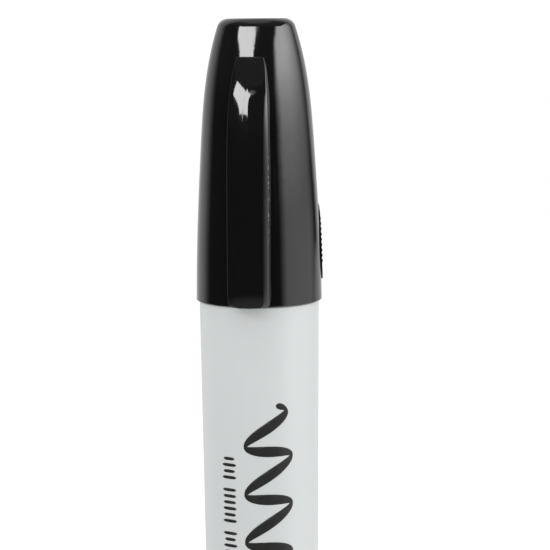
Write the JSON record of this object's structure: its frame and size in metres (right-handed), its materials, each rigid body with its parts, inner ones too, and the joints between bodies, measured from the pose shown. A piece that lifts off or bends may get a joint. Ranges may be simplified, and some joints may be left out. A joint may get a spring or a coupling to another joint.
{
  "type": "felt tip marker",
  "caption": "Felt tip marker: tapered barrel with an ink reservoir and chisel-cut nib, and a pull-off ogive cap with a sealing liner and a flexing pocket clip.",
  "frame": {"origin": "centre of the flat face of the tail plug, where the marker stands upright", "axes": "+Z runs along the barrel from the tail to the cap's top, the pocket clip faces -Y, and the raised pad is on the +X side"},
  "size_m": [0.0172, 0.0201, 0.137],
  "materials": {
    "barrel_plastic": "satin light grey polypropylene",
    "plug_plastic": "gloss black",
    "reservoir_fibre": "bonded fibre soaked with black ink",
    "wrap_film": "thin clear-white film",
    "holder_plastic": "satin black",
    "nib_felt": "dense felt stained with black ink",
    "liner_plastic": "soft natural white polyethylene",
    "cap_plastic": "high gloss black polypropylene"
  },
  "bodies": {
    "barrel": {"barrel": "barrel_plastic", "tail_plug": "plug_plastic", "reservoir_core": "reservoir_fibre", "reservoir_wrap": "wrap_film", "nib_holder": "holder_plastic", "nib": "nib_felt"},
    "cap_liner": {"cap_liner": "liner_plastic"},
    "cap_shell": {"cap_shell": "cap_plastic"},
    "pocket_clip": {"pocket_clip": "cap_plastic"}
  },
  "joints": [
    {"name": "cap_pull", "type": "slide", "parent": "barrel", "child": "cap_liner", "axis": [0, 0, 1], "range_m": [0, 0.042]},
    {"name": "cap_twist", "type": "hinge", "parent": "cap_liner", "child": "cap_shell", "pos_m": [0, 0, 0.118], "axis": [0, 0, 1], "continuous": true},
    {"name": "clip_flex", "type": "hinge", "parent": "cap_shell", "child": "pocket_clip", "pos_m": [0, -0.00655, 0.132], "axis": [-1, 0, 0], "range_deg": [0, 5], "stiffness_Nm_per_rad": 4.4}
  ]
}
